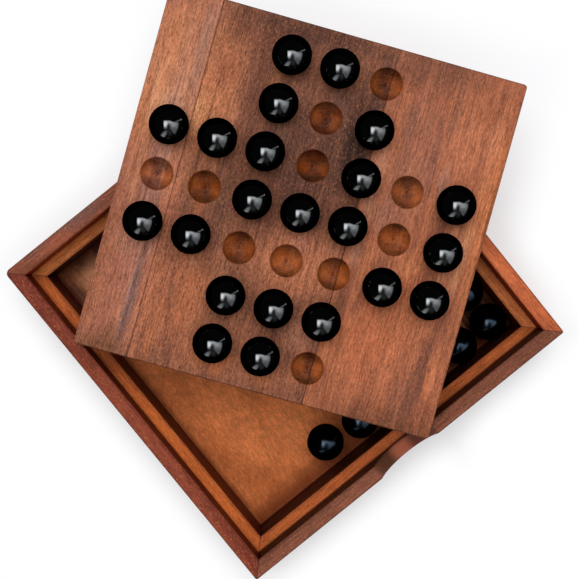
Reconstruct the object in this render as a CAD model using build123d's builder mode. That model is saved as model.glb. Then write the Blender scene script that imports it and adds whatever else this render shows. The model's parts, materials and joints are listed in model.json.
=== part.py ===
from build123d import *
import math
import os

# Peg solitaire set: a square wooden box with a drop-in lid, whose top is the playing board.
# Millimetres, +Z up, origin at the centre of the box's underside, -Y towards the finger notch.
# The board lies askew across the rim of the box, so that the tray under it shows.

# Marbles and the dimples that hold them
marble_diameter = 14.0
marble_spacing = 3.3        # free space between marbles in neighbouring dimples
dimple_depth = 2.9
seat_gap = 0.15             # air between a marble and the surface under it
drill_mark_radius = 0.6     # small cone that the cutter's point leaves in each dimple
drill_mark_depth = 0.4

# Holes of the playing board, seen from above with the far edge first: o has a marble, . has none
board_state = (
    "  oo.  ",
    "  o.o  ",
    "ooo.o.o",
    "..ooo.o",
    "oo...oo",
    "  ooo  ",
    "  oo.  ",
)

# Playing board, which is also the lid, glued up from three staves
board_margin = 13.1         # outermost hole to the board's edge, on average
holes_off_middle = 0.5      # the holes sit this far to the left of the board's middle
board_thickness = 9.0
left_stave_width = 19.3
right_stave_width = 46.7
board_corner_radius = 1.2
board_edge_radius = 0.5

# Box: four mitred rails round a floor panel, with a ledge of four mitred strips inside
rail_thickness = 5.4
board_clearance = 1.4       # between the closed lid and the rails, on each side
lid_sink = 0.5              # the closed lid lies this far below the rim
tray_headroom = 5.0         # above a marble in the tray, below the closed lid
ledge_width = 4.2
floor_thickness = 3.0
rebate_depth = 2.6          # groove in the rails' lower inner edge that takes the floor panel
box_corner_radius = 0.8
worn_corner_radius = 2.0    # the back left corner is rounder than the front ones
round_corner_radius = 4.0   # and the back right corner, which lies under the board, rounder still
rim_edge_radius = 0.4
ledge_edge_radius = 0.3

# Finger notch in the front rail: an arc cut down from the rim
notch_width = 25.9
notch_depth = 8.5
notch_lip_radius = 0.8

# How the board lies on the rim
board_centre_x = 23.7
board_centre_y = 21.6
board_turn = -54.4          # degrees about +Z
board_rest_gap = 0.1

# Loose marbles in the tray
tray_gap = 0.35             # air between two marbles that lie side by side
wall_gap = 0.15             # air between a marble in the corner and the ledge strips
stray_marble_x = -22.05     # the leftmost marble along the front strip
stray_wall_gap = 3.3        # from that marble to the front strip
second_stray_offset = 1.2   # extra room between it and its neighbour
second_wall_gap = 1.6
back_marble_x = -22.0       # the marble that lies by itself under the board
back_marble_y = -8.0

# Sizes that follow from those above
marble_radius = marble_diameter / 2
hole_pitch = marble_diameter + marble_spacing
dimple_radius = marble_radius + seat_gap
marble_rise = dimple_radius - dimple_depth
middle_hole = len(board_state) // 2
board_side = 2 * (middle_hole * hole_pitch + board_margin)
recess_side = board_side + 2 * board_clearance
box_side = recess_side + 2 * rail_thickness
tray_side = recess_side - 2 * ledge_width
floor_side = recess_side + 2 * rebate_depth
ledge_top = floor_thickness + marble_diameter + tray_headroom
box_height = ledge_top + board_thickness + lid_sink
board_bottom = box_height + board_rest_gap

os.makedirs("parts", exist_ok=True)


def save(piece, name):
    """Name a finished piece and write it to its own file."""
    piece.part.label = name
    export_step(piece.part, f"parts/{name}.step")


def mitred_strip(outer_side, width):
    """Corners of one side of a square frame, cut at 45 degrees at both ends."""
    half = outer_side / 2
    return [(-half, -half), (half, -half), (half - width, -half + width), (-half + width, -half + width)]


def long_edges(piece, plane, towards_inside):
    """Top edges that run along a strip, on its inner or outer side."""
    inward = Axis((0, 0, 0), plane.y_dir)
    along = piece.edges().filter_by(Axis((0, 0, 0), plane.x_dir)).group_by(Axis.Z)[-1]
    rows = along.group_by(inward)
    return rows[-1] if towards_inside else rows[0]


# Outer rails: each has its own plane, turned so that the rail lies on the plane's -Y side
side_planes = {
    "front": Plane.XY,
    "right": Plane.XY.rotated((0, 0, 90)),
    "back": Plane.XY.rotated((0, 0, 180)),
    "left": Plane.XY.rotated((0, 0, 270)),
}
# Radius of the box corner at a rail's left and right end, as seen from outside
rail_end_radii = {
    "front": (box_corner_radius, box_corner_radius),
    "right": (box_corner_radius, round_corner_radius),
    "back": (round_corner_radius, worn_corner_radius),
    "left": (worn_corner_radius, box_corner_radius),
}
half_box = box_side / 2
rim_round = min(rim_edge_radius, rail_thickness / 4, box_corner_radius / 2)
notch_radius = (notch_width**2 / 4 + notch_depth**2) / (2 * notch_depth)

for side, plane in side_planes.items():
    with BuildPart() as rail:
        with BuildSketch(plane) as plan:
            Rectangle(box_side, box_side)
            for end, radius in zip((-half_box, half_box), rail_end_radii[side]):
                fillet(plan.vertices().sort_by_distance((end, -half_box, 0))[0], radius)
            Polygon(*mitred_strip(box_side, rail_thickness), align=None, mode=Mode.INTERSECT)
        extrude(amount=box_height)
        if side == "front":
            with BuildSketch(Plane.XZ.offset(half_box)):
                with Locations((0, box_height - notch_depth + notch_radius)):
                    Circle(notch_radius)
            extrude(amount=-rail_thickness, mode=Mode.SUBTRACT)
            lips = rail.edges().filter_by(Axis.Y).group_by(Axis.Z)[-1]
            fillet(lips, min(notch_lip_radius, notch_depth / 4))
        fillet(long_edges(rail, plane, towards_inside=False), rim_round)
        fillet(long_edges(rail, plane, towards_inside=True), rim_round)
        with BuildSketch(plane):
            Rectangle(floor_side, floor_side)
        extrude(amount=floor_thickness, mode=Mode.SUBTRACT)
    save(rail, f"{side}_rail")

# Floor panel, let into the rails and flush with their underside
with BuildPart() as floor_panel:
    with BuildSketch(Plane.XY):
        Rectangle(floor_side, floor_side)
    extrude(amount=floor_thickness)
save(floor_panel, "floor_panel")

# Ledge strips, glued inside the rails on top of the floor panel: the closed lid rests on them
ledge_round = min(ledge_edge_radius, ledge_width / 4)

for side, plane in side_planes.items():
    with BuildPart() as strip:
        with BuildSketch(plane.offset(floor_thickness)):
            Polygon(*mitred_strip(recess_side, ledge_width), align=None)
        extrude(amount=ledge_top - floor_thickness)
        fillet(long_edges(strip, plane, towards_inside=True), ledge_round)
    save(strip, f"{side}_ledge_strip")

# Playing board: the plane lies on its underside, +Y along the grain, towards the far edge
board_plane = Plane(
    origin=(board_centre_x, board_centre_y, board_bottom),
    x_dir=(math.cos(math.radians(board_turn)), math.sin(math.radians(board_turn)), 0),
    z_dir=(0, 0, 1),
)
half_board = board_side / 2
board_round = min(board_edge_radius, board_thickness / 4, board_corner_radius / 2)

# Places on the board, measured from its middle: of every hole, and of those that hold a marble
holes = []
filled_holes = []
for row, line in enumerate(board_state):
    for column, mark in enumerate(line):
        place = ((column - middle_hole) * hole_pitch - holes_off_middle, (middle_hole - row) * hole_pitch)
        if mark != " ":
            holes.append(place)
        if mark == "o":
            filled_holes.append(place)

# Staves: name, left edge and right edge
left_glue_line = -half_board + left_stave_width
right_glue_line = half_board - right_stave_width
staves = [
    ("left_stave", -half_board, left_glue_line),
    ("middle_stave", left_glue_line, right_glue_line),
    ("right_stave", right_glue_line, half_board),
]

for name, left_edge, right_edge in staves:
    cut_holes = [(x, y) for x, y in holes if left_edge - dimple_radius < x < right_edge + dimple_radius]
    with BuildPart(board_plane) as stave:
        with BuildSketch(board_plane):
            RectangleRounded(board_side, board_side, board_corner_radius)
            with Locations(((left_edge + right_edge) / 2, 0)):
                Rectangle(right_edge - left_edge, board_side, mode=Mode.INTERSECT)
        extrude(amount=board_thickness)
        levels = stave.edges().group_by(Axis.Z)
        outline = [
            edge
            for edge in levels[0] + levels[-1]
            if min(
                abs(board_plane.to_local_coords(edge.center()).X - glue_line)
                for glue_line in (left_glue_line, right_glue_line)
            )
            > board_round
        ]
        fillet(outline, board_round)
        # Dimples are round-bottomed, and those on a glue line are cut across two staves
        with Locations(*[(x, y, board_thickness + marble_rise) for x, y in cut_holes]):
            Sphere(dimple_radius, mode=Mode.SUBTRACT)
        with Locations(*[(x, y, board_thickness - dimple_depth) for x, y in cut_holes]):
            Cone(0, 2 * drill_mark_radius, 2 * drill_mark_depth, mode=Mode.SUBTRACT)
    save(stave, name)


def save_marble(centre, name):
    """Make one glass marble, a ball at the given place, and write it."""
    with BuildPart(Plane(origin=centre)) as marble:
        Sphere(marble_radius)
    save(marble, name)


# Marbles in the dimples, numbered from the far left
for number, (x, y) in enumerate(filled_holes, start=1):
    centre = board_plane.from_local_coords(Vector(x, y, board_thickness + marble_rise))
    save_marble(centre, f"board_marble_{number:02d}")

# Marbles that were jumped over and taken off: a block of them has rolled into the tray's front
# right corner, two lie along the front strip, and one by itself further back
tray_level = floor_thickness + seat_gap + marble_radius
step = marble_diameter + tray_gap
corner_reach = tray_side / 2 - wall_gap - marble_radius
second_stray_x = stray_marble_x + step + second_stray_offset
tray_places = [
    (stray_marble_x, -tray_side / 2 + stray_wall_gap + marble_radius),
    (second_stray_x, -tray_side / 2 + second_wall_gap + marble_radius),
    (corner_reach - 2 * step, -corner_reach),
    (corner_reach - step, -corner_reach),
    (corner_reach, -corner_reach),
    (corner_reach - 3 * step, -corner_reach + step),
    (corner_reach - 2 * step, -corner_reach + step),
    (corner_reach - step, -corner_reach + step),
    (corner_reach, -corner_reach + step),
    (back_marble_x, back_marble_y),
]
for number, (x, y) in enumerate(tray_places, start=1):
    save_marble(Vector(x, y, tray_level), f"tray_marble_{number:02d}")
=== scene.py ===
"""Looks of a wooden peg solitaire set: a dimpled lid board lying askew on its tray box, with marbles.

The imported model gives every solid. This script dresses the wood, models the glass marbles in place of
their plain balls, and sets up the table, the lamps and the camera. Lengths held by the classes are in
millimetres, in the row frame; Blender's objects are in metres.
"""

import json
import logging
import math
import random
from dataclasses import dataclass, field
from enum import Enum
from typing import Mapping, NamedTuple, Sequence

import bpy
from mathutils import Matrix, Vector

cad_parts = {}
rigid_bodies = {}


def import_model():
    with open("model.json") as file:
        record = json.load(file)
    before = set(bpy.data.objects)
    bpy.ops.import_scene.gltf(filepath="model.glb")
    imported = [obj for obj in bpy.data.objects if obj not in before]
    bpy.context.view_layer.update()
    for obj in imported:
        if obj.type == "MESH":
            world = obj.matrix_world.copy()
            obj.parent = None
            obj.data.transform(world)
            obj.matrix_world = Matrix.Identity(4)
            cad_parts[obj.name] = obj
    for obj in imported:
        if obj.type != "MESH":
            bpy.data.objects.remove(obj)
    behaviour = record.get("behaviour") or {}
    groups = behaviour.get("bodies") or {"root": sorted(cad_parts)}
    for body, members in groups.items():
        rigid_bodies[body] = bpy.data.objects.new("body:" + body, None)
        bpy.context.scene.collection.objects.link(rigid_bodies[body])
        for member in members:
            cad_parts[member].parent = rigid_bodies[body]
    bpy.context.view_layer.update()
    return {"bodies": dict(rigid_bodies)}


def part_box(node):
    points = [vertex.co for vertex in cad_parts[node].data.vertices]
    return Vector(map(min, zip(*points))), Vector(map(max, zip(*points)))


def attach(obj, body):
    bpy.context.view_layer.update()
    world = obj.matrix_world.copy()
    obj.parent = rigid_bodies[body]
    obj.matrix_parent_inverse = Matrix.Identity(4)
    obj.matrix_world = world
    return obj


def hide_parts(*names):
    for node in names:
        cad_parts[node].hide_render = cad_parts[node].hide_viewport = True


log = logging.getLogger("solitaire")

MM = 0.001  # in metres
ENDLESS = 1e6  # mm: a stain goes all the way through
SOFT_EDGE = (1.0, 0.2)  # where an ellipse is 0 and where it is 1, as shares of its half sizes
SWING = 4  # noise strays about 0.25 from its middle, so times this it strays about 1
OILED = {"Specular IOR Level": 0.12}  # oiled wood has little gloss

Pair = tuple[float, float]
Triple = tuple[float, float, float]


class Colour(NamedTuple):
    """A colour as it is seen: red, green and blue from 0 to 255."""

    red: float
    green: float
    blue: float

    def linear(self) -> tuple[float, ...]:
        """The colour as a shader takes it: linear light, with an alpha of 1."""
        parts = [part / 255 for part in self]
        return (*(p / 12.92 if p <= 0.04045 else ((p + 0.055) / 1.055) ** 2.4 for p in parts), 1.0)


BLACK = Colour(0, 0, 0)
WHITE = Colour(255, 255, 255)


class Sheet:
    """The node sheet of one material, lamp or world."""

    def __init__(self, owner: bpy.types.ID) -> None:
        """Clear the owner's sheet, ready for new nodes.

        Args:
            owner: the material, lamp or world.
        """
        owner.use_nodes = True
        self.tree = owner.node_tree
        self.tree.nodes.clear()

    def node(
        self, kind: str, settings: Mapping[str, object] | None = None, sockets: Mapping | None = None
    ) -> bpy.types.Node:
        """Add one node.

        Args:
            kind: the node's type.
            settings: the node's own settings, such as its operation.
            sockets: what goes into its sockets, by name or number: a value or another node's output.

        Returns:
            The new node.
        """
        made = self.tree.nodes.new(kind)
        for name, value in (settings or {}).items():
            setattr(made, name, value)
        for name, value in (sockets or {}).items():
            value = getattr(value, "socket", value)
            if isinstance(value, bpy.types.NodeSocket):
                self.tree.links.new(value, made.inputs[name])
            else:
                made.inputs[name].default_value = value.linear() if isinstance(value, Colour) else value
        return made

    def maths(self, operation: str, *values: "float | Number") -> "Number":
        """Add a Math node that does the operation on the values."""
        made = self.node("ShaderNodeMath", {"operation": operation}, dict(enumerate(values)))
        return Number(self, made.outputs[0])

    def tint(self, colour: Colour) -> "Tint":
        """Start from one even colour.

        Args:
            colour: the colour.

        Returns:
            The same colour, to mix others into.
        """
        made = self.node("ShaderNodeRGB")
        made.outputs[0].default_value = colour.linear()
        return Tint(self, made)

    def distance(self, across: "Number", along: "Number") -> "Number":
        """How far a point is from 0, 0 on a flat face.

        Args:
            across: its first coordinate.
            along: its second coordinate.

        Returns:
            The distance, in the same unit.
        """
        flat = self.node("ShaderNodeCombineXYZ", {}, {0: across, 1: along})
        made = self.node("ShaderNodeVectorMath", {"operation": "LENGTH"}, {0: flat.outputs[0]})
        return Number(self, made.outputs["Value"])


class Number:
    """A number that changes over a surface, with the arithmetic that adds Math nodes."""

    def __init__(self, sheet: Sheet, socket: bpy.types.NodeSocket) -> None:
        """Wrap an output of a node that is on the sheet."""
        self.sheet = sheet
        self.socket = socket

    def __add__(self, other: "float | Number") -> "Number":
        """Sum."""
        return self.sheet.maths("ADD", self, other)

    def __sub__(self, other: "float | Number") -> "Number":
        """Difference."""
        return self.sheet.maths("SUBTRACT", self, other)

    def __rsub__(self, other: float) -> "Number":
        """Difference from a plain number."""
        return self.sheet.maths("SUBTRACT", other, self)

    def __mul__(self, other: "float | Number") -> "Number":
        """Product."""
        return self.sheet.maths("MULTIPLY", self, other)

    def __truediv__(self, other: "float | Number") -> "Number":
        """Quotient."""
        return self.sheet.maths("DIVIDE", self, other)

    def __abs__(self) -> "Number":
        """Size without its sign."""
        return self.sheet.maths("ABSOLUTE", self)

    __radd__ = __add__
    __rmul__ = __mul__

    def at_least(self, other: "float | Number") -> "Number":
        """The larger of the two."""
        return self.sheet.maths("MAXIMUM", self, other)

    def at_most(self, other: "float | Number") -> "Number":
        """The smaller of the two."""
        return self.sheet.maths("MINIMUM", self, other)

    def ramp(self, start: float, end: float) -> "Number":
        """Rise softly from 0 where the number is start to 1 where it is end, also if end is less."""
        made = self.sheet.node(
            "ShaderNodeMapRange", {"interpolation_type": "SMOOTHSTEP"}, {0: self, 1: start, 2: end}
        )
        return Number(self.sheet, made.outputs[0])


class Tint:
    """A colour that changes over a surface."""

    def __init__(self, sheet: Sheet, node: bpy.types.Node, output: int = 0) -> None:
        """Wrap the colour that comes out of a node on the sheet."""
        self.sheet = sheet
        self.socket = node.outputs[output]

    def towards(self, other: "Colour | Tint", share: "float | Number") -> "Tint":
        """Mix in another colour: share is how much of it, from 0 to 1."""
        made = self.sheet.node("ShaderNodeMix", {"data_type": "RGBA"}, {0: share, 6: self, 7: other})
        return Tint(self.sheet, made, output=2)

    def toned(self, value: "float | Number", saturation: "float | Number" = 1.0) -> "Tint":
        """Multiply how light the colour is, and how vivid it is."""
        made = self.sheet.node(
            "ShaderNodeHueSaturation", {}, {"Value": value, "Saturation": saturation, "Color": self}
        )
        return Tint(self.sheet, made)


class Place:
    """Where a point of a piece is (mm): across the grain, along it, and above the row's base."""

    def __init__(self, sheet: Sheet, socket: bpy.types.NodeSocket) -> None:
        """Split a vector into its three numbers.

        Args:
            sheet: the sheet to work on.
            socket: the vector.
        """
        self.sheet = sheet
        self.socket = socket
        parts = sheet.node("ShaderNodeSeparateXYZ", {}, {0: socket})
        self.across, self.along, self.above = (Number(sheet, out) for out in parts.outputs)

    @classmethod
    def on(cls, sheet: Sheet, centre: Sequence[float], turn: float) -> "Place":
        """Measure places from a centre, with the grain turned.

        Args:
            sheet: the sheet to work on.
            centre: the point that is 0, 0 (mm).
            turn: degrees about +Z from +Y to the way that the grain runs.

        Returns:
            The place.
        """
        plain = sheet.node("ShaderNodeTexCoord").outputs["Object"]
        settled = sheet.node(
            "ShaderNodeMapping",
            {"vector_type": "TEXTURE"},
            {
                "Vector": plain,
                "Location": (centre[0] * MM, centre[1] * MM, 0),
                "Rotation": (0, 0, math.radians(turn)),
                "Scale": (MM, MM, MM),
            },
        )
        return cls(sheet, settled.outputs[0])

    def _clouds(self, size: Sequence[float], shift: Triple, detail: float) -> bpy.types.Node:
        """Add a noise texture.

        Args:
            size: how long a blotch is across the grain, along it and in depth (mm).
            shift: moves the pattern, so that another shift gives another one.
            detail: how many finer layers are added.

        Returns:
            The texture's node.
        """
        scaled = self.sheet.node(
            "ShaderNodeMapping", {}, {"Vector": self, "Location": shift, "Scale": [1 / s for s in size]}
        )
        return self.sheet.node(
            "ShaderNodeTexNoise", {}, {"Vector": scaled.outputs[0], "Scale": 1.0, "Detail": detail}
        )

    def noise(self, size: Sequence[float], seed: float, detail: float = 2.0) -> Number:
        """Soft random light and dark.

        Args:
            size: how long a blotch is across the grain, along it and in depth (mm).
            seed: any number; another one gives another pattern.
            detail: how many finer layers are added.

        Returns:
            A number from 0 to 1, mostly near 0.5.
        """
        made = self._clouds(size, (seed, 1.7 * seed, 2.3 * seed), detail)
        return Number(self.sheet, made.outputs[0])

    def wandering(self, reach: Sequence[float], size: Sequence[float], seed: float) -> "Place":
        """The same place, pushed about so that lines drawn from it wander.

        Args:
            reach: how far it is pushed across, along and in depth (mm).
            size: how long the bends are in the same three directions (mm).
            seed: picks the pattern.

        Returns:
            The pushed place.
        """
        drift = self._clouds(size, (seed, -seed, 0.4 * seed), 2.0)
        centred = self.sheet.node(
            "ShaderNodeVectorMath", {"operation": "SUBTRACT"}, {0: drift.outputs[1], 1: (0.5, 0.5, 0.5)}
        )
        moved = self.sheet.node(
            "ShaderNodeVectorMath",
            {"operation": "MULTIPLY_ADD"},
            {0: centred.outputs[0], 1: reach, 2: self},
        )
        return Place(self.sheet, moved.outputs[0])

    def inside(self, centre: Sequence[float], half: Sequence[float], lean: float = 0.0) -> Number:
        """A soft-edged ellipse on the face of a board.

        Args:
            centre: its middle, across and along the grain (mm).
            half: half its width and half its length (mm).
            lean: degrees that it is turned away from the grain.

        Returns:
            1 in its middle, falling to 0 at its edge.
        """
        scaled = self.sheet.node(
            "ShaderNodeMapping",
            {"vector_type": "TEXTURE"},
            {
                "Vector": self,
                "Location": (*centre, 0),
                "Rotation": (0, 0, math.radians(lean)),
                "Scale": (*half, ENDLESS),
            },
        )
        reach = self.sheet.node("ShaderNodeVectorMath", {"operation": "LENGTH"}, {0: scaled.outputs[0]})
        return Number(self.sheet, reach.outputs["Value"]).ramp(*SOFT_EDGE)


@dataclass(frozen=True)
class Stain:
    """A patch or a streak of another tone in a piece of wood; some stand for painted light and shade.

    Its middle and its half sizes are across and along the grain (mm), its tone is red, green and blue
    as they are seen, and its lean is in degrees.
    """

    centre: Pair
    half: Pair
    tone: Triple
    strength: float
    lean: float = 0.0

    def cover(self, colour: Tint, place: Place, share: Number) -> Tint:
        """Lay the stain over the colour, as far as the share lets it."""
        patch = place.inside(self.centre, self.half, self.lean) * share
        return colour.towards(Colour(*self.tone), patch * self.strength)


@dataclass(frozen=True)
class WoodFinish:
    """Oiled hardwood: broad bands, fine streaks, pores and curly figure along one grain."""

    name: str
    light: Colour
    dark: Colour
    seed: float
    fleck: Colour = Colour(214, 136, 88)
    pore: Colour = Colour(108, 50, 30)
    # painted shade of the inner walls below the top
    wall: Colour = Colour(90, 18, 2)
    rim_shade: float = 0.3
    end_shade: float = 0.5
    streak: float = 0.10
    figure: float = 0.05
    grain: float = 0.28
    speckle: float = 0.18
    flecks: float = 0.2
    pores: float = 0.45
    relief: float = 0.06
    wander: float = 2.0
    bend: Triple = (14.0, 60.0, 14.0)
    band: Triple = (7.0, 90.0, 9.0)
    cloud: Triple = (2.2, 26.0, 3.0)
    fleck_size: Triple = (0.55, 0.9, 0.5)
    streak_size: Triple = (0.9, 24.0, 0.7)
    figure_size: Triple = (3.2, 7.0, 3.0)
    grain_size: Triple = (0.45, 6.0, 0.5)
    speckle_size: Triple = (0.45, 1.1, 0.5)
    pore_size: Triple = (0.3, 3.0, 0.4)
    stains: tuple[Stain, ...] = ()
    # painted light and shade on the faces cut below the top
    cut_shading: tuple[Stain, ...] = ()

    def paint(self, place: Place, calm: "float | Number" = 0.0) -> tuple[Tint, Number]:
        """Lay the wood's colour down.

        Args:
            place: where the point is, measured along the wood's own grain.
            calm: how far the finest grain is smoothed away there, from 0 to 1.

        Returns:
            The colour, and how deep the pores are there, from 0 to 1.
        """
        bent = place.wandering((self.wander, 4 * self.wander, self.wander), self.bend, self.seed)
        bands = bent.noise(self.band, self.seed + 1).ramp(0.32, 0.68)
        colour = place.sheet.tint(self.dark).towards(self.light, bands)
        if self.stains:
            cloud = 0.55 + 0.45 * bent.noise(self.cloud, self.seed + 5).ramp(0.2, 0.6)
        for stain in self.stains:
            colour = stain.cover(colour, bent, cloud)
        flecks = place.noise(self.fleck_size, self.seed + 15, 1.0).ramp(0.53, 0.7)
        colour = colour.towards(self.fleck, flecks * self.flecks)
        streaks = bent.noise(self.streak_size, self.seed + 2, 3.0) - 0.5
        figure = place.noise(self.figure_size, self.seed + 3, 3.0) - 0.5
        grain = bent.noise(self.grain_size, self.seed + 6, 1.5) - 0.5
        speckle = place.noise(self.speckle_size, self.seed + 4, 1.0) - 0.5
        fine = grain * (SWING * self.grain) + speckle * (SWING * self.speckle)
        shade = 1 + streaks * (SWING * self.streak) + figure * (SWING * self.figure) + fine * (1 - calm)
        pores = place.noise(self.pore_size, self.seed + 9, 1.0).ramp(0.58, 0.72) * (1 - calm)
        return colour.towards(self.pore, pores * self.pores).toned(shade), pores


class Look:
    """Finishes a material: joins its colour, gloss and relief to one surface shader."""

    def __init__(self, name: str) -> None:
        """Start a material.

        Args:
            name: the material's name.
        """
        self.material = bpy.data.materials.new(name)
        self.sheet = Sheet(self.material)

    def finish(
        self,
        colour: Tint,
        roughness: "float | Number",
        relief: Number,
        depth: float,
        constants: "Mapping[str, float | Colour]",
        dull_rim: Pair | None = None,
    ) -> bpy.types.Material:
        """Join everything to the surface.

        Args:
            colour: the base colour.
            roughness: the base roughness.
            relief: height of the surface, from 0 to 1.
            depth: how tall a relief of 1 is (mm).
            constants: what else is set on the shader.
            dull_rim: where the gloss starts and ends to fade, by how far the surface turns away.

        Returns:
            The finished material.
        """
        bump = self.sheet.node("ShaderNodeBump", {}, {"Height": relief, "Distance": depth * MM})
        sockets = {"Base Color": colour, "Roughness": roughness, "Normal": bump.outputs[0]}
        surface = self.sheet.node("ShaderNodeBsdfPrincipled", {}, {**sockets, **constants})
        if dull_rim:
            glossless = {**sockets, "Specular IOR Level": 0.0}
            matt = self.sheet.node("ShaderNodeBsdfPrincipled", {}, glossless)
            away = self.sheet.node("ShaderNodeLayerWeight", {}, {"Blend": 0.5}).outputs["Facing"]
            share = Number(self.sheet, away).ramp(*dull_rim)
            sockets = {0: share, 1: surface.outputs[0], 2: matt.outputs[0]}
            surface = self.sheet.node("ShaderNodeMixShader", {}, sockets)
        self.sheet.node("ShaderNodeOutputMaterial", {}, {"Surface": surface.outputs[0]})
        return self.material


def facing(sheet: Sheet, way: Sequence[float]) -> Number:
    """How squarely the surface faces a direction or its opposite.

    Args:
        sheet: the sheet to work on.
        way: the direction.

    Returns:
        1 where it faces that way, 0 where it lies along it.
    """
    normal = sheet.node("ShaderNodeNewGeometry").outputs["True Normal"]
    made = sheet.node("ShaderNodeVectorMath", {"operation": "DOT_PRODUCT"}, {0: normal, 1: way})
    return abs(Number(sheet, made.outputs["Value"]))


def dress(node: str, material: bpy.types.Material) -> None:
    """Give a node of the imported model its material.

    Args:
        node: the node's name.
        material: what it is made of.
    """
    piece = bpy.data.objects[node]
    piece.material_slots[0].material = material
    log.info("dressed %s", node)


def add_plane(name: str, width: float, height: float) -> tuple[bpy.types.Object, Sheet]:
    """Add a level square with a material of its own.

    Args:
        name: its name, which is also the material's.
        width: how wide it is (mm).
        height: how high it lies (mm).

    Returns:
        The square, and the sheet of its material.
    """
    bpy.ops.object.select_all(action="DESELECT")
    bpy.ops.mesh.primitive_plane_add(size=width * MM, location=(0, 0, height * MM))
    plane = bpy.context.active_object
    plane.name = name
    material = bpy.data.materials.new(name)
    plane.data.materials.append(material)
    return plane, Sheet(material)


class Side(Enum):
    """A side of the box: its name, and degrees from +Y to the way that its wood's grain runs."""

    FRONT = ("front", 90.0)
    RIGHT = ("right", 0.0)
    BACK = ("back", 90.0)
    LEFT = ("left", 0.0)


@dataclass
class Box:
    """The tray box: four rails, four ledge strips and the floor panel."""

    rail_woods: Mapping[Side, WoodFinish]
    strip_woods: Mapping[Side, WoodFinish]
    floor_wood: WoodFinish
    # how wide the painted shade along the top's outer edge is (mm)
    edge_shade_width: float = 0.7
    # how wide the painted shade at the inner edge of the top is (mm)
    lip_shade_width: float = 1.3
    mitre_line: Pair = (0.26, 0.06)
    # painted shade on the floor along the tray's walls, in a wider band along the front wall
    wall_shade: Colour = Colour(104, 40, 12)
    wall_shade_width: float = 2.5
    front_shade_width: float = 11.0
    half: float = field(init=False)
    height: float = field(init=False)
    half_recess: float = field(init=False)
    half_tray: float = field(init=False)
    ledge_top: float = field(init=False)

    def __post_init__(self) -> None:
        """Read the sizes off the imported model."""
        low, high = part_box("front_rail")
        self.half = -low.y / MM
        self.height = high.z / MM
        self.half_recess = -high.y / MM
        low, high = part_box("front_ledge_strip")
        self.half_tray = -high.y / MM
        self.ledge_top = high.z / MM

    def _joinery(
        self, wood: WoodFinish, turn: float, inner: float, top: float, outer: float
    ) -> bpy.types.Material:
        """Make a rail's or strip's wood, with painted shade on its inner walls and edges, and a fine line
        at its mitres.

        Args:
            wood: its wood.
            turn: which way the grain runs (degrees from +Y).
            inner: distance from the box's middle to its inner wall.
            top: height of its upper face.
            outer: distance from the box's middle to its outer wall.

        Returns:
            The material.
        """
        look = Look(wood.name)
        sheet = look.sheet
        place = Place.on(sheet, (0, 0), turn)
        colour, pores = wood.paint(place)
        reach = abs(place.across).at_least(abs(place.along))
        spot = place.noise((6, 6, 3), wood.seed + 20)
        # Painted shade: the inner walls below the top take the dark wall tone.
        wall = reach.ramp(inner + 0.35, inner + 0.1) * place.above.ramp(top + 0.1, top - 0.6)
        colour = colour.towards(wood.wall, wall * (0.9 + 0.1 * spot))
        # Painted light and shade on the finger notch's cut faces, which lie below the top.
        if wood.cut_shading:
            cut = place.above.ramp(top - 0.6, top - 1.6) * facing(sheet, (0, 0, 1)).ramp(0.3, 0.6)
        for stain in wood.cut_shading:
            colour = stain.cover(colour, place, cut)
        seam = abs(abs(place.across) - abs(place.along)).ramp(*self.mitre_line)
        # Painted shade along the top's outer edge.
        edge_shade = reach.ramp(outer - self.edge_shade_width, outer - 0.15) * place.above.ramp(top - 1.2, top - 0.3)
        # Painted shade: the top darkens towards its inner edge, where it rounds over into the recess.
        lip_shade = reach.ramp(inner + self.lip_shade_width, inner + 0.2)
        colour = colour.toned(1 - seam * 0.55 - edge_shade * wood.rim_shade - lip_shade * 0.3)
        shine = place.noise((2, 9, 3), wood.seed + 21).ramp(0.3, 0.7)
        relief = place.noise((0.5, 9, 0.7), wood.seed + 22) - pores * 0.6 - seam
        return look.finish(colour, 0.46 + 0.14 * shine, relief, wood.relief, OILED)

    def dress_rails(self) -> None:
        """Give the four rails their wood."""
        for side, wood in self.rail_woods.items():
            name, turn = side.value
            made = self._joinery(wood, turn, self.half_recess, self.height, self.half)
            dress(f"{name}_rail", made)

    def dress_ledge(self) -> None:
        """Give the four ledge strips their wood."""
        for side, wood in self.strip_woods.items():
            name, turn = side.value
            made = self._joinery(wood, turn, self.half_tray, self.ledge_top, self.half_recess)
            dress(f"{name}_ledge_strip", made)

    def dress_floor(self) -> None:
        """Give the floor panel its rotary-cut veneer, with a wavy, blotchy figure and painted shade by
        the walls.
        """
        look = Look(self.floor_wood.name)
        place = Place.on(look.sheet, (0, 0), 0)
        colour, pores = self.floor_wood.paint(place)
        bent = place.wandering((9, 9, 1), (17, 17, 9), 3.0)
        waves = bent.noise((1.4, 3.0, 3), 51.0, 3.0)
        blotches = place.noise((6, 9, 5), 52.0, 3.0)
        flecks = bent.noise((0.6, 2.0, 1), 53.0, 1.0).ramp(0.62, 0.78)
        colour = colour.toned(1 + (waves - 0.5) * 0.85 + (blotches - 0.5) * 0.45 - flecks * 0.2)
        reach = abs(place.across).at_least(abs(place.along))
        wall = self.half_tray
        # Painted shade: the floor darkens towards the tray's walls, and over a wider band towards the
        # front wall.
        wall_shade = reach.ramp(wall - self.wall_shade_width, wall) * 0.6
        front_shade = (0 - place.along).ramp(wall - self.front_shade_width, wall - 0.5) * 0.8
        colour = colour.towards(self.wall_shade, wall_shade.at_least(front_shade))
        relief = waves * 0.5 - pores * 0.4
        made = look.finish(colour, 0.5 + 0.1 * blotches, relief, self.floor_wood.relief, OILED)
        dress("floor_panel", made)


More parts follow.
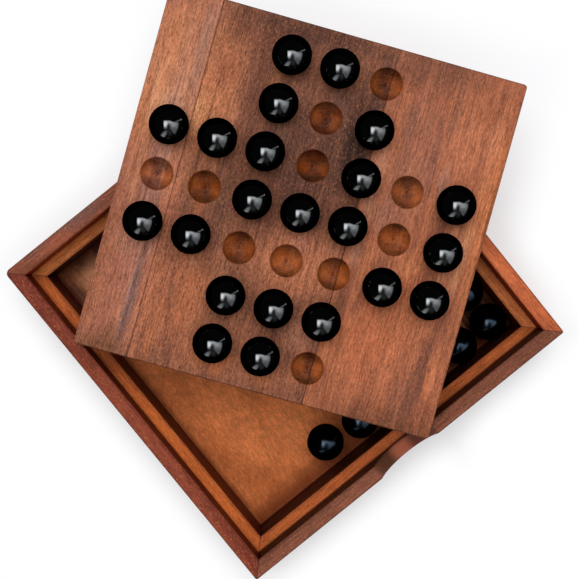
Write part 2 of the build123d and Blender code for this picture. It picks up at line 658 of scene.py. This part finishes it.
@dataclass
class Board:
    """The playing board, which is also the lid: three staves with round-bottomed dimples."""

    staves: Mapping[str, WoodFinish]
    centre: Pair = (23.7, 21.6)
    turn: float = -54.4
    half: float = 65.0
    # how wide the painted shade along the board's edges is (mm)
    edge_shade_width: float = 0.6
    glue_lines: Pair = (-45.7, 18.3)
    glue_width: Pair = (0.36, 0.06)
    hole_pitch: float = 17.3
    holes_off_middle: float = 0.5
    dimple_rim: float = 5.75
    rubbed_rim: float = 6.15
    dimple_polish: float = 0.7
    oil: Colour = Colour(116, 52, 8)
    red_oil: Colour = Colour(132, 46, 8)
    pale_grain: Colour = Colour(202, 112, 56)
    top: float = field(init=False)

    def __post_init__(self) -> None:
        """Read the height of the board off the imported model."""
        self.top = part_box("middle_stave")[1].z / MM

    def _nearest_dimple(self, place: Place) -> tuple[Number, Number, Number]:
        """Find the middle of the dimple that a point is nearest to.

        Args:
            place: where the point is on the board.

        Returns:
            How far the point is from that middle: across the grain, along it and in all.
        """
        sheet = place.sheet
        half_pitch = self.hole_pitch / 2
        across = sheet.maths("WRAP", place.across + self.holes_off_middle, half_pitch, -half_pitch)
        along = sheet.maths("WRAP", place.along, half_pitch, -half_pitch)
        return across, along, sheet.distance(across, along).at_least(0.2)

    def _dimpled(self, place: Place, radius: Number, inner: Number) -> Number:
        """Tell the dimples, with the rims that the marbles have rubbed, from the flat of the board.

        Args:
            place: where the point is on the board.
            radius: how far it is from the middle of its nearest dimple.
            inner: 1 away from the board's edges, 0 at them.

        Returns:
            1 in a dimple, 0 on the flat.
        """
        three_halves = 1.5 * self.hole_pitch
        off_middle = abs(place.across + self.holes_off_middle).at_most(abs(place.along))
        on_cross = off_middle.ramp(three_halves, three_halves - 1)
        sunk = place.above.ramp(self.top - 0.02, self.top - 0.12)
        rubbed_rim = radius.ramp(self.rubbed_rim, self.dimple_rim) * on_cross * 0.8
        return sunk.at_least(rubbed_rim) * inner

    def _oiled_dimples(
        self, colour: Tint, place: Place, near: Sequence[Number], dimple: Number, seed: float
    ) -> Tint:
        """Tone the wood in the dimples: warmer, mottled, with turned rings and a crack at the bottom.

        Args:
            colour: the wood's colour.
            place: where the point is on the board.
            near: how far it is from the middle of its nearest dimple: across, along and in all.
            dimple: 1 in a dimple, 0 on the flat.
            seed: picks the pattern.

        Returns:
            The toned colour.
        """
        sheet = place.sheet
        across, along, radius = near
        lumps = place.noise((4.5, 3.6, 4.0), seed + 34, 3.0) - 0.5
        crumbs = place.noise((0.7, 0.7, 0.7), seed + 37, 2.0) - 0.5
        tilt = (place.noise((17, 17, 17), seed + 35, 1.0) - 0.5) * 5
        sideways = (across + along * tilt) / radius
        long_grain = (sideways * sideways).ramp(0.1, 1.0) * radius.ramp(0.4, 3.0) * radius.ramp(6.4, 4.0)
        turning = Place(sheet, sheet.node("ShaderNodeCombineXYZ", {}, {0: radius, 1: across}).outputs[0])
        rings = turning.noise((0.7, 5, 5), seed + 30, 2.0) - 0.5
        crack = abs(across + lumps * 4).ramp(0.4, 0.1) * radius.ramp(3.2, 0.8)
        red = place.noise((7, 5, 6), seed + 36, 1.0).ramp(0.46, 0.66)
        colour = colour.towards(self.oil, dimple * 0.35)
        colour = colour.towards(self.red_oil, dimple * red * 0.25)
        colour = colour.towards(self.pale_grain, dimple * long_grain * 0.14)
        shade = rings * 0.45 + lumps * 1.5 + crumbs * 0.9 + long_grain * 0.14 - crack * 0.16 - 0.22
        return colour.toned(1 + dimple * shade, 1 + dimple * 0.07)

    def _stave(self, wood: WoodFinish) -> bpy.types.Material:
        """Make a stave's wood, with warmer dimples, darker end grain and the lines of the glue joints.

        Args:
            wood: its wood.

        Returns:
            The material.
        """
        look = Look(wood.name)
        sheet = look.sheet
        place = Place.on(sheet, self.centre, self.turn)
        reach = abs(place.across).at_least(abs(place.along))
        near = self._nearest_dimple(place)
        dimple = self._dimpled(place, near[2], reach.ramp(self.half - 2.0, self.half - 3.0))
        colour, pores = wood.paint(place, dimple * self.dimple_polish)
        colour = self._oiled_dimples(colour, place, near, dimple, wood.seed)
        slope = math.radians(self.turn)
        ends = facing(sheet, (-math.sin(slope), math.cos(slope), 0.0))
        colour = colour.toned(1 - ends.ramp(0.1, 0.8) * wood.end_shade)
        joint = abs(place.across - self.glue_lines[0]).at_most(abs(place.across - self.glue_lines[1]))
        wobble = place.noise((1, 6, 2), wood.seed + 31).ramp(0.15, 0.5)
        seam = joint.ramp(*self.glue_width) * wobble
        # Painted shade: the top darkens along the board's edges, where they round over.
        edge_shade = reach.ramp(self.half - self.edge_shade_width, self.half - 0.1)
        colour = colour.toned(1 - seam * 0.62 - edge_shade * 0.18)
        shine = place.noise((1.5, 12, 3), wood.seed + 32).ramp(0.3, 0.7)
        relief = place.noise((0.4, 7, 0.6), wood.seed + 33) - pores * 0.7 - seam
        return look.finish(colour, 0.44 + 0.14 * shine, relief, wood.relief, OILED)

    def dress_staves(self) -> None:
        """Give the three staves their wood."""
        for node, wood in self.staves.items():
            dress(node, self._stave(wood))


@dataclass(frozen=True)
class GlassFinish:
    """Opaque black glass, polished, with faint smears, and with rims that mirror next to nothing."""

    name: str
    deep: Colour = Colour(5, 7, 9)
    haze: Colour = Colour(10, 12, 16)
    gloss: float = 0.5
    roughness: float = 0.015
    smear: float = 0.04
    ripple: float = 0.004
    dull_rim: Pair = (0.262, 0.292)
    tint: Colour = WHITE

    def make(self) -> bpy.types.Material:
        """Make the glass.

        Returns:
            The material.
        """
        look = Look(self.name)
        place = Place.on(look.sheet, (0, 0), 0)
        swirl = place.wandering((4, 4, 4), (6, 6, 6), 7.0).noise((3, 3, 5), 61.0).ramp(0.4, 0.75)
        colour = look.sheet.tint(self.deep).towards(self.haze, swirl)
        smears = place.noise((2.4, 1.1, 1.6), 62.0, 3.0).ramp(0.45, 0.8)
        relief = place.noise((2.2, 2.2, 2.2), 63.0, 1.0)
        roughness = self.roughness + self.smear * smears
        constants = {"Specular IOR Level": self.gloss, "Specular Tint": self.tint}
        return look.finish(colour, roughness, relief, self.ripple, constants, self.dull_rim)


@dataclass
class Marbles:
    """The glass marbles. Each has the small round scar where the hot glass was cut off."""

    clear: GlassFinish
    # the glass of the marbles in the tray, which mirrors less and is rougher and bluer
    dull: GlassFinish
    radius: float = 7.0
    scar_radius: float = 1.5
    scar_slope: float = 0.25
    scar_floor: float = 0.3
    scar_depth: float = 0.06
    scar_clearance: float = 55.0
    rings: int = 24
    seed: int = 14
    made: list[bpy.types.Object] = field(default_factory=list)

    def _model(self) -> bpy.types.Object:
        """Model one marble round the origin, its scar at the top.

        Returns:
            The marble.
        """
        bpy.ops.object.select_all(action="DESELECT")
        bpy.ops.mesh.primitive_uv_sphere_add(
            segments=2 * self.rings, ring_count=self.rings, radius=self.radius * MM, location=(0, 0, 0)
        )
        ball = bpy.context.active_object
        bpy.ops.object.mode_set(mode="EDIT")
        bpy.ops.mesh.select_all(action="DESELECT")
        bpy.ops.object.mode_set(mode="OBJECT")
        crown = math.sqrt(self.radius**2 - self.scar_radius**2) * MM
        for face in ball.data.polygons:
            face.select = face.center.z > crown
        bpy.ops.object.mode_set(mode="EDIT")
        bpy.ops.mesh.inset(thickness=self.scar_slope * MM, depth=-self.scar_depth * MM)
        bpy.ops.mesh.inset(thickness=self.scar_floor * MM, depth=self.scar_depth * 0.5 * MM)
        bpy.ops.mesh.select_all(action="DESELECT")
        bpy.ops.object.mode_set(mode="OBJECT")
        smooth = ball.modifiers.new("smooth", "SUBSURF")
        smooth.levels = 1
        smooth.render_levels = 1
        bpy.ops.object.modifier_apply(modifier=smooth.name)
        bpy.ops.object.shade_smooth()
        return ball

    def _turned(self, chance: random.Random) -> Matrix:
        """Pick how a marble lies, with its scar away from the top.

        Args:
            chance: the source of random numbers.

        Returns:
            The turn.
        """
        tilt = math.radians(chance.uniform(self.scar_clearance, 180 - self.scar_clearance / 2))
        return (
            Matrix.Rotation(chance.uniform(0, math.tau), 4, "Z")
            @ Matrix.Rotation(tilt, 4, "X")
            @ Matrix.Rotation(chance.uniform(0, math.tau), 4, "Z")
        )

    def build(self, bodies: Sequence[str]) -> None:
        """Put a marble in the place of each plain ball.

        Args:
            bodies: names of the marbles' bodies, which are also their nodes' names.
        """
        chance = random.Random(self.seed)
        pattern = self._model()
        clear, dull = self.clear.make(), self.dull.make()
        for body in bodies:
            low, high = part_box(body)
            marble = pattern.copy()
            marble.data = pattern.data.copy()
            bpy.context.scene.collection.objects.link(marble)
            marble.name = f"glass_{body}"
            marble.data.name = marble.name
            marble.data.transform(Matrix.Translation((low + high) / 2) @ self._turned(chance))
            marble.data.materials.clear()
            marble.data.materials.append(dull if body.startswith("tray") else clear)
            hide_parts(body)
            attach(marble, body)
            self.made.append(marble)
            log.info("modelled %s", marble.name)
        bpy.data.objects.remove(pattern)


@dataclass(frozen=True)
class Lamp:
    """A broad, far-off white lamp. Its spread is in degrees, its leans are along the picture's sides."""

    name: str
    strength: float
    spread: float
    lean_right: float
    lean_down: float


@dataclass(frozen=True)
class Glint:
    """A soft ellipse of light in a marble, in shares of the marble's radius, with its lean in degrees."""

    strength: float
    centre: Pair
    half: Pair
    lean: float = 0.0

    def at(self, seen: Place) -> Number:
        """How bright it is at a place in the marble."""
        return self.strength * seen.inside(self.centre, self.half, self.lean)


@dataclass
class Studio:
    """The table, the lamps, the surroundings and the camera, placed by the camera's own axes."""

    lamps: Sequence[Lamp]
    camera_place: Triple = (4.08, 20.26, 436.73)
    camera_range: Pair = (10.0, 50000.0)
    picture_right: Triple = (0.7783, -0.6274, 0.0263)
    picture_down: Triple = (-0.6279, -0.7775, 0.0335)
    focal_pixels: float = 1125.44
    picture_pixels: int = 579
    sensor: float = 36.0
    table_width: float = 30000.0
    table_drop: float = 0.1
    table_tone: Colour = Colour(225, 225, 225)
    table_seen: Colour = Colour(249, 251, 254)
    table_glow: float = 0.39
    table_far: Pair = (260.0, 700.0)
    box_shadow: Pair = (4.0, 18.0)
    box_shadow_shift: Pair = (1.5, 0.0)
    board_shadow: Pair = (3.0, 24.0)
    board_shadow_shift: Pair = (8.0, -7.0)
    overhead: Colour = Colour(50, 50, 52)
    horizon: Colour = Colour(250, 250, 250)
    horizon_edge: Pair = (0.12, 0.04)
    window_width: float = 160000.0
    window_height: float = 1600.0
    window_tone: Colour = Colour(246, 251, 255)
    window_glow: float = 18.0
    window_level: float = 0.2
    window_glints: tuple[Glint, ...] = (
        Glint(0.7, (-0.15, 0.02), (0.17, 0.22)),
        Glint(0.22, (0.04, -0.07), (0.22, 0.12)),
        Glint(0.14, (0.24, 0.02), (0.2, 0.2)),
    )
    window_dip: Glint = Glint(0.9, (0.01, 0.18), (0.15, 0.26))
    room_level: float = 0.0015
    room_glints: tuple[Glint, ...] = (
        Glint(0.02, (0.06, 0.42), (0.2, 0.26)),
        Glint(0.2, (-0.28, 0.57), (0.15, 0.38), 41.0),
        Glint(0.12, (0.48, -0.16), (0.28, 0.045), -26.0),
        Glint(0.13, (0.62, -0.24), (0.07, 0.05)),
    )

    def _flat(self, right: float, down: float) -> Vector:
        """A direction on the table, given along the picture's own directions."""
        way = Vector(self.picture_right) * right + Vector(self.picture_down) * down
        return Vector((way.x, way.y, 0))

    def add_camera(self) -> None:
        """Set up the camera where the picture was taken from."""
        right = Vector(self.picture_right).normalized()
        down = Vector(self.picture_down)
        down = (down - down.dot(right) * right).normalized()
        back = right.cross(-down)
        data = bpy.data.cameras.new("picture_camera")
        data.sensor_width = self.sensor
        data.lens = self.sensor * self.focal_pixels / self.picture_pixels
        data.clip_start, data.clip_end = (distance * MM for distance in self.camera_range)
        camera = bpy.data.objects.new("picture_camera", data)
        turn = Matrix((right, -down, back)).transposed().to_4x4()
        camera.matrix_world = Matrix.Translation(Vector(self.camera_place) * MM) @ turn
        bpy.context.scene.collection.objects.link(camera)
        bpy.context.scene.camera = camera

    def add_table(self, box: Box, board: Board) -> None:
        """Lay the white table that the set stands on. Close to the set it takes the set's soft shadow.

        Args:
            box: the box.
            board: the board.
        """
        table, sheet = add_plane("white_table", self.table_width, -self.table_drop)
        path = sheet.node("ShaderNodeLightPath").outputs
        direct, glossy, through = (
            Number(sheet, path[f"Is {kind} Ray"]) for kind in ("Camera", "Glossy", "Transmission")
        )
        seen = direct.at_least(glossy).at_least(through)
        colour = sheet.tint(self.table_tone).towards(self.table_seen, seen)
        matt = sheet.node("ShaderNodeBsdfDiffuse", {}, {"Color": colour})
        bright = sheet.tint(BLACK).towards(WHITE, seen)
        glow = sheet.node("ShaderNodeEmission", {}, {"Color": bright})
        shift = self._flat(*self.box_shadow_shift)
        place = Place.on(sheet, (shift.x, shift.y), 0)
        off_box = abs(place.across).at_least(abs(place.along)) - box.half
        far = sheet.distance(place.across, place.along).ramp(*self.table_far)
        shift = self._flat(*self.board_shadow_shift)
        place = Place.on(sheet, (board.centre[0] + shift.x, board.centre[1] + shift.y), board.turn)
        off_board = abs(place.across).at_least(abs(place.along)) - board.half
        clear = off_box.ramp(*self.box_shadow) * off_board.ramp(*self.board_shadow)
        share = (seen * (self.table_glow + (1 - self.table_glow) * clear)).at_least(far)
        both = sheet.node("ShaderNodeMixShader", {}, {0: share, 1: matt.outputs[0], 2: glow.outputs[0]})
        sheet.node("ShaderNodeOutputMaterial", {}, {"Surface": both.outputs[0]})

    def add_surroundings(self) -> None:
        """Make the room: pale near the horizon, dim overhead."""
        world = bpy.data.worlds.new("room")
        bpy.context.scene.world = world
        sheet = Sheet(world)
        way = sheet.node("ShaderNodeTexCoord").outputs["Generated"]
        height = Number(sheet, sheet.node("ShaderNodeSeparateXYZ", {}, {0: way}).outputs[2])
        colour = sheet.tint(self.overhead).towards(self.horizon, height.ramp(*self.horizon_edge))
        glow = sheet.node("ShaderNodeBackground", {}, {"Color": colour, "Strength": 1.0})
        sheet.node("ShaderNodeOutputWorld", {}, {"Surface": glow.outputs[0]})

    def add_lamps(self, marbles: Sequence[bpy.types.Object]) -> None:
        """Hang the lamps. They light everything but the marbles, which mirror the ceiling window alone.

        Args:
            marbles: the marbles.
        """
        unlit = bpy.data.collections.new("lit_by_window_only")
        for marble in marbles:
            unlit.objects.link(marble)
        for member in unlit.collection_objects:
            member.light_linking.link_state = "EXCLUDE"
        for lamp in self.lamps:
            data = bpy.data.lights.new(lamp.name, "SUN")
            data.energy = lamp.strength * math.pi
            data.angle = math.radians(lamp.spread)
            hung = bpy.data.objects.new(lamp.name, data)
            towards = self._flat(lamp.lean_right, lamp.lean_down) + Vector((0, 0, 1))
            hung.rotation_euler = towards.to_track_quat("Z", "Y").to_euler()
            bpy.context.scene.collection.objects.link(hung)
            hung.light_linking.receiver_collection = unlit

    def _mirrored(self, sheet: Sheet) -> Place:
        """Where on a marble each point of the ceiling shows, in the picture.

        Args:
            sheet: the ceiling's sheet.

        Returns:
            The place, to the right of and below the marble's middle, where 1 is the marble's radius.
        """
        right = self._flat(1, 0)
        place = Place.on(sheet, (0, 0), math.degrees(math.atan2(right.y, right.x)))
        scale = 1 / self.window_height
        sideways, downward = place.across * scale, place.along * (-scale)
        slope = sheet.distance(sideways, downward).at_least(0.001)
        reach = sheet.maths("SINE", sheet.maths("ARCTANGENT", slope) * 0.5) / slope
        flat = sheet.node("ShaderNodeCombineXYZ", {}, {0: sideways * reach, 1: downward * reach})
        return Place(sheet, flat.outputs[0])

    def add_window(self, marbles: Sequence[bpy.types.Object]) -> None:
        """Hang the ceiling with the bright window that the marbles mirror: it lights nothing.

        The window's shape is drawn as it shows on a marble, in shares of the marble's radius.

        Args:
            marbles: the marbles.
        """
        pane, sheet = add_plane("ceiling_window", self.window_width, self.window_height)
        seen = self._mirrored(sheet)
        across, down = seen.across, seen.along
        left = across.ramp(-0.245, -0.185)
        top = (down - 0.07 * across.ramp(0, 0.3)).ramp(-0.175, -0.1)
        right = (across + 0.6 * down * down).ramp(0.53, 0.43)
        bottom = (down - 0.27 * across.ramp(0.06, 0.32)).ramp(0.31, 0.19)
        level = sum((glint.at(seen) for glint in self.window_glints), self.window_level)
        level = level * (1 - self.window_dip.at(seen)) * (1 - 0.55 * down.ramp(0.08, 0.35))
        glow = self.room_level + left * top * right * bottom * level
        glow = sum((glint.at(seen) for glint in self.room_glints), glow)
        bright = sheet.tint(BLACK).towards(self.window_tone, glow)
        light = sheet.node("ShaderNodeEmission", {}, {"Color": bright, "Strength": self.window_glow})
        sheet.node("ShaderNodeOutputMaterial", {}, {"Surface": light.outputs[0]})
        pane.visible_camera = False
        pane.visible_diffuse = False
        pane.visible_shadow = False
        pane.visible_transmission = False
        chosen = bpy.data.collections.new("mirrors_the_window")
        for marble in marbles:
            chosen.objects.link(marble)
        pane.light_linking.receiver_collection = chosen


# Each wood's wall tone is painted shade on that side's inner walls.
RAIL_WOODS = {
    Side.FRONT: WoodFinish(
        "front_rail_wood",
        Colour(131, 77, 58),
        Colour(112, 65, 48),
        2.0,
        wall=Colour(46, 6, 0),
        # painted shade on the notch's two flanks and painted light on its middle
        cut_shading=(
            Stain((-69, 8.5), (14, 7), (84, 50, 30), 0.9),
            Stain((-69, 0.5), (14, 6), (178, 98, 70), 0.85),
            Stain((-69, -6.5), (14, 5), (112, 56, 46), 0.9),
        ),
    ),
    Side.RIGHT: WoodFinish(
        "right_rail_wood",
        Colour(208, 112, 68),
        Colour(168, 82, 48),
        11.0,
        wall=Colour(144, 26, 0),
        rim_shade=0.5,
    ),
    Side.BACK: WoodFinish(
        "back_rail_wood",
        Colour(158, 89, 63),
        Colour(118, 64, 44),
        23.0,
        wall=Colour(184, 58, 8),
        stains=(
            Stain((70.5, 36), (4, 16), (110, 80, 74), 0.7),
            Stain((71, 56), (3, 10), (116, 78, 70), 0.5),
            Stain((68.5, 50), (3, 10), (174, 88, 64), 0.5),
        ),
    ),
    Side.LEFT: WoodFinish(
        "left_rail_wood",
        Colour(139, 66, 45),
        Colour(111, 46, 32),
        37.0,
        wall=Colour(104, 20, 0),
    ),
}
# Each wood's wall tone is painted shade on that side's inner walls.
STRIP_WOODS = {
    Side.FRONT: WoodFinish(
        "front_strip_wood",
        Colour(214, 113, 53),
        Colour(178, 89, 42),
        3.0,
        wall=Colour(44, 4, 0),
        rim_shade=0.7,
        stains=(Stain((-62, -52), (16, 40), (140, 66, 30), 0.6),),
    ),
    Side.RIGHT: WoodFinish(
        "right_strip_wood",
        Colour(228, 133, 74),
        Colour(182, 100, 56),
        13.0,
        wall=Colour(90, 10, 3),
    ),
    Side.BACK: WoodFinish(
        "back_strip_wood",
        Colour(226, 132, 70),
        Colour(180, 102, 56),
        29.0,
        wall=Colour(80, 14, 8),
    ),
    Side.LEFT: WoodFinish(
        "left_strip_wood",
        Colour(212, 109, 49),
        Colour(172, 84, 39),
        41.0,
        wall=Colour(100, 24, 1),
    ),
}
FLOOR_WOOD = WoodFinish(
    "floor_veneer",
    Colour(222, 126, 70),
    Colour(190, 102, 52),
    5.0,
    band=(16.0, 30.0, 9.0),
    streak=0.04,
    figure=0.08,
    grain=0.08,
    speckle=0.2,
    pores=0.1,
    relief=0.04,
    stains=(
        # painted light: a pale patch that lifts the shade in the floor's back left corner
        Stain((-50, 50), (18, 18), (246, 176, 130), 0.75),
        # painted shadow: dark bands along the back and left walls of that corner
        Stain((-44, 61), (22, 6), (70, 30, 36), 0.9),
        Stain((-61, 50), (6, 16), (70, 30, 36), 0.9),
        # painted shadow: the dark right front corner under the board's overhang
        Stain((54, -50), (36, 32), (40, 16, 8), 0.92),
        Stain((-34, -38), (24, 14), (238, 140, 80), 0.25),
    ),
)
LEFT_STAVE = WoodFinish(
    "left_stave_wood",
    Colour(182, 114, 85),
    Colour(158, 97, 74),
    71.0,
    band=(3.2, 120.0, 6.0),
    streak=0.13,
    speckle=0.3,
    stains=(
        Stain((-51.5, 9), (3, 11), (200, 142, 118), 0.8),
        Stain((-47.4, 22), (2.4, 16), (190, 132, 98), 0.45),
        Stain((-48, -24), (2.8, 9), (182, 132, 114), 0.5),
        Stain((-59, -8), (3, 10), (196, 130, 96), 0.4),
        Stain((-55, -25), (10, 9), (190, 128, 102), 0.45),
        Stain((-58, 32), (15, 40), (204, 133, 92), 0.85),
        Stain((-55, 24), (6, 12), (220, 160, 122), 0.6),
        Stain((-60, 50), (6, 20), (176, 106, 70), 0.4),
        Stain((-53.5, 4), (5, 66), (170, 120, 108), 0.5),
        Stain((-48.6, 46), (3.4, 30), (150, 112, 98), 0.6),
        Stain((-50.4, -8), (3.0, 10), (120, 90, 84), 0.5),
        Stain((-49.8, -45), (3.4, 30), (108, 84, 82), 0.8),
        Stain((-63, 18), (3, 20), (200, 116, 68), 0.4),
        Stain((-64, -40), (5, 50), (140, 82, 56), 0.6),
        Stain((-55, -66), (20, 14), (112, 70, 48), 0.9),
        Stain((-60.3, 28), (0.8, 17), (230, 168, 128), 0.6),
        Stain((-61.9, 28), (0.7, 17), (120, 74, 54), 0.5),
        Stain((-53.1, 28), (0.6, 17), (116, 78, 66), 0.5),
        Stain((-54.5, 0), (0.7, 19), (112, 74, 62), 0.6),
        Stain((-50.5, 12), (0.8, 32), (220, 166, 140), 0.5),
        Stain((-51.2, -40), (0.8, 30), (200, 146, 122), 0.22),
        Stain((-49.7, -40), (0.8, 30), (90, 68, 66), 0.25),
    ),
)
MIDDLE_STAVE = WoodFinish(
    "middle_stave_wood",
    Colour(142, 88, 64),
    Colour(118, 71, 53),
    83.0,
    band=(5.0, 60.0, 8.0),
    streak=0.16,
    figure=0.08,
    speckle=0.38,
    stains=(
        Stain((-40, 34), (11, 40), (196, 121, 81), 0.85),
        Stain((-38, 42), (7, 9), (144, 80, 58), 0.75),
        Stain((-40, -57), (3.4, 9), (198, 118, 76), 0.5),
        Stain((-20, -57), (13, 9), (186, 108, 68), 0.6),
        Stain((15, -12), (4, 11), (188, 122, 92), 0.4),
        Stain((-38, 58), (7, 13), (112, 66, 48), 0.8),
        Stain((-28, 57), (14, 9), (108, 58, 40), 0.5),
        Stain((-34, -38), (16, 26), (182, 106, 70), 0.85),
        Stain((-39, -32), (4.5, 16), (136, 84, 62), 0.5),
        Stain((-44.6, -24), (4.4, 74), (184, 112, 80), 0.65),
        Stain((-27, -4), (6, 20), (96, 62, 47), 0.7),
        Stain((-40, 8), (3, 9), (126, 74, 54), 0.5),
        Stain((-34, 14), (4, 13), (190, 118, 84), 0.6),
        Stain((-36, -8), (3, 9), (192, 110, 68), 0.5),
        Stain((-44, 24), (3.6, 12), (220, 150, 100), 0.8),
        Stain((-1, 20), (28, 32), (84, 53, 44), 0.7),
        Stain((-12, 62), (38, 10), (96, 60, 49), 0.85),
        Stain((-14, 40), (8, 9), (150, 98, 76), 0.5),
        Stain((-14, 24), (5, 9), (136, 92, 74), 0.7),
        Stain((-22, 8), (4.4, 10), (84, 47, 32), 0.4),
        Stain((-32, 24), (3, 10), (206, 132, 98), 0.5),
        Stain((-32, -24), (3, 10), (214, 140, 104), 0.5),
        Stain((-21, 40), (3.5, 10), (186, 118, 80), 0.4),
        Stain((-21, -24), (3.5, 10), (186, 118, 84), 0.35),
        Stain((-27, -16), (4, 18), (96, 60, 46), 0.4),
        Stain((-36, -40), (2.6, 10), (96, 60, 46), 0.4),
        Stain((-14, -40), (5, 10), (196, 130, 96), 0.4),
        Stain((-5, 8), (5, 10), (86, 54, 44), 0.4),
        Stain((2, 24), (5, 10), (66, 42, 36), 0.4),
        Stain((2, 40), (4.5, 10), (120, 86, 80), 0.4),
        Stain((15, -24), (4, 10), (104, 64, 52), 0.5),
        Stain((9, -40), (4, 10), (110, 70, 56), 0.4),
        Stain((1, 16), (9, 14), (70, 42, 34), 0.45),
        Stain((9, 40), (11, 20), (68, 44, 37), 0.6),
        Stain((12.5, 27), (8, 18), (44, 30, 27), 0.92),
        Stain((15.6, 50), (4, 20), (62, 46, 44), 0.7),
        Stain((2, -18), (24, 20), (180, 109, 76), 0.9),
        Stain((2, -8), (5, 10), (190, 122, 96), 0.7),
        Stain((-12, -48), (12, 14), (166, 102, 72), 0.6),
        Stain((12, -40), (9, 10), (182, 120, 92), 0.6),
        Stain((0, -57), (24, 9), (168, 101, 70), 0.7),
        Stain((-14, -57), (5, 9), (198, 112, 66), 0.6),
        Stain((2, -57), (5, 9), (200, 116, 72), 0.6),
        Stain((-35.4, -47), (1.2, 22), (104, 66, 54), 0.5, 8.0),
        Stain((-40, 8), (0.8, 38), (76, 44, 32), 0.75),
        Stain((-5.4, 10), (0.7, 30), (62, 38, 32), 0.65),
        Stain((-9.1, -44), (0.7, 30), (96, 60, 46), 0.45),
        Stain((8.1, -18), (0.8, 28), (84, 50, 40), 0.38),
        Stain((11.5, -28), (0.6, 16), (96, 60, 46), 0.5),
        Stain((-12, 62), (40, 4.5), (84, 48, 34), 0.4),
    ),
)
RIGHT_STAVE = WoodFinish(
    "right_stave_wood",
    Colour(177, 105, 72),
    Colour(153, 89, 63),
    97.0,
    band=(4.6, 70.0, 7.0),
    streak=0.15,
    speckle=0.27,
    stains=(
        Stain((22, 26), (4, 12), (222, 152, 120), 0.6),
        Stain((20, 46), (4, 20), (136, 84, 66), 0.5),
        Stain((22, -40), (4, 12), (206, 122, 78), 0.7),
        Stain((54, 0), (3.4, 18), (210, 144, 106), 0.7),
        Stain((50, 38), (10, 20), (194, 118, 84), 0.7),
        Stain((33, 22), (12, 32), (156, 104, 84), 0.5),
        Stain((33, 46), (9, 12), (140, 90, 70), 0.45),
        Stain((22, 12), (4, 18), (204, 142, 112), 0.6),
        Stain((22, -6), (4, 8), (204, 142, 116), 0.5),
        Stain((28, 42), (4.5, 10), (118, 80, 68), 0.6),
        Stain((60.6, 24), (4, 44), (208, 126, 82), 0.75),
        Stain((59, 42), (4, 14), (212, 136, 98), 0.4),
        Stain((34, -36), (14, 24), (188, 104, 66), 0.6),
        Stain((34, -58), (3, 12), (204, 120, 82), 0.6),
        Stain((44, -22), (10, 26), (188, 106, 67), 0.5),
        Stain((42, -8), (6, 9), (202, 124, 82), 0.6),
        Stain((20.5, -26), (6, 14), (96, 60, 44), 0.6),
        Stain((43.5, 50), (2.2, 22), (112, 78, 68), 0.5),
        Stain((48.8, 2), (3.4, 20), (104, 65, 52), 0.45),
        Stain((34, 6), (3, 9), (118, 72, 54), 0.5),
        Stain((51, -54), (6, 16), (120, 76, 62), 0.55),
        Stain((55.5, -46), (4.4, 26), (100, 62, 52), 0.85, -4.0),
        Stain((58.5, 0), (3, 22), (220, 150, 108), 0.7),
        Stain((62, -58), (4, 12), (112, 62, 40), 0.55),
        Stain((24, -58), (8, 11), (130, 74, 46), 0.45),
        Stain((21.5, 57), (4, 10), (118, 72, 56), 0.45),
        Stain((28, -24), (4, 10), (112, 66, 46), 0.45),
        Stain((40, 32), (4, 20), (120, 80, 74), 0.4),
        Stain((45.5, 24), (3, 10), (160, 122, 110), 0.45),
        Stain((28, 8), (3.5, 10), (140, 100, 90), 0.4),
        Stain((58, -24), (3, 12), (126, 76, 56), 0.4),
        Stain((60, -42), (2.6, 14), (208, 124, 80), 0.6),
        Stain((34, -10), (4, 12), (122, 74, 56), 0.4),
        Stain((63.6, 16), (3, 46), (204, 120, 70), 0.6),
        Stain((32, 62), (30, 13), (112, 70, 55), 0.75),
        Stain((48, -68), (34, 16), (100, 58, 40), 0.9),
        Stain((64, 14), (0.8, 36), (104, 56, 34), 0.7),
        Stain((48.1, 52), (0.7, 16), (110, 70, 58), 0.5),
        Stain((33.7, 52), (0.6, 16), (110, 66, 50), 0.5),
        Stain((42.7, -28), (0.7, 17), (112, 62, 46), 0.5),
        Stain((37.5, 2), (0.6, 17), (116, 68, 50), 0.5),
        Stain((30.9, 52), (0.7, 16), (200, 128, 98), 0.4),
    ),
)
CLEAR_GLASS = GlassFinish("black_glass_clear")
# The marbles in the tray get a copy of the glass that mirrors a third as much and is rougher and bluer,
# so their highlights come out dimmer.
DULL_GLASS = GlassFinish(
    "black_glass_dull",
    deep=Colour(5, 8, 12),
    haze=Colour(12, 18, 24),
    gloss=0.16,
    roughness=0.13,
    smear=0.1,
    tint=Colour(190, 222, 255),
)
LAMPS = (
    Lamp("window_light", strength=0.55, spread=62.0, lean_right=-0.2, lean_down=-0.6),
    Lamp("room_light", strength=0.54, spread=140.0, lean_right=0.0, lean_down=0.0),
)


def main() -> None:
    """Dress the set, light it and report."""
    logging.basicConfig(level=logging.INFO, format="%(name)s: %(message)s")
    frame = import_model()
    box = Box(RAIL_WOODS, STRIP_WOODS, FLOOR_WOOD)
    box.dress_rails()
    box.dress_ledge()
    box.dress_floor()
    board = Board({"left_stave": LEFT_STAVE, "middle_stave": MIDDLE_STAVE, "right_stave": RIGHT_STAVE})
    board.dress_staves()
    marbles = Marbles(CLEAR_GLASS, DULL_GLASS)
    marbles.build([body for body in frame["bodies"] if "marble" in body])
    studio = Studio(LAMPS)
    studio.add_camera()
    studio.add_table(box, board)
    studio.add_surroundings()
    studio.add_lamps(marbles.made)
    studio.add_window(marbles.made)
    bpy.context.scene.view_settings.view_transform = "Standard"


if __name__ == "__main__":
    main()
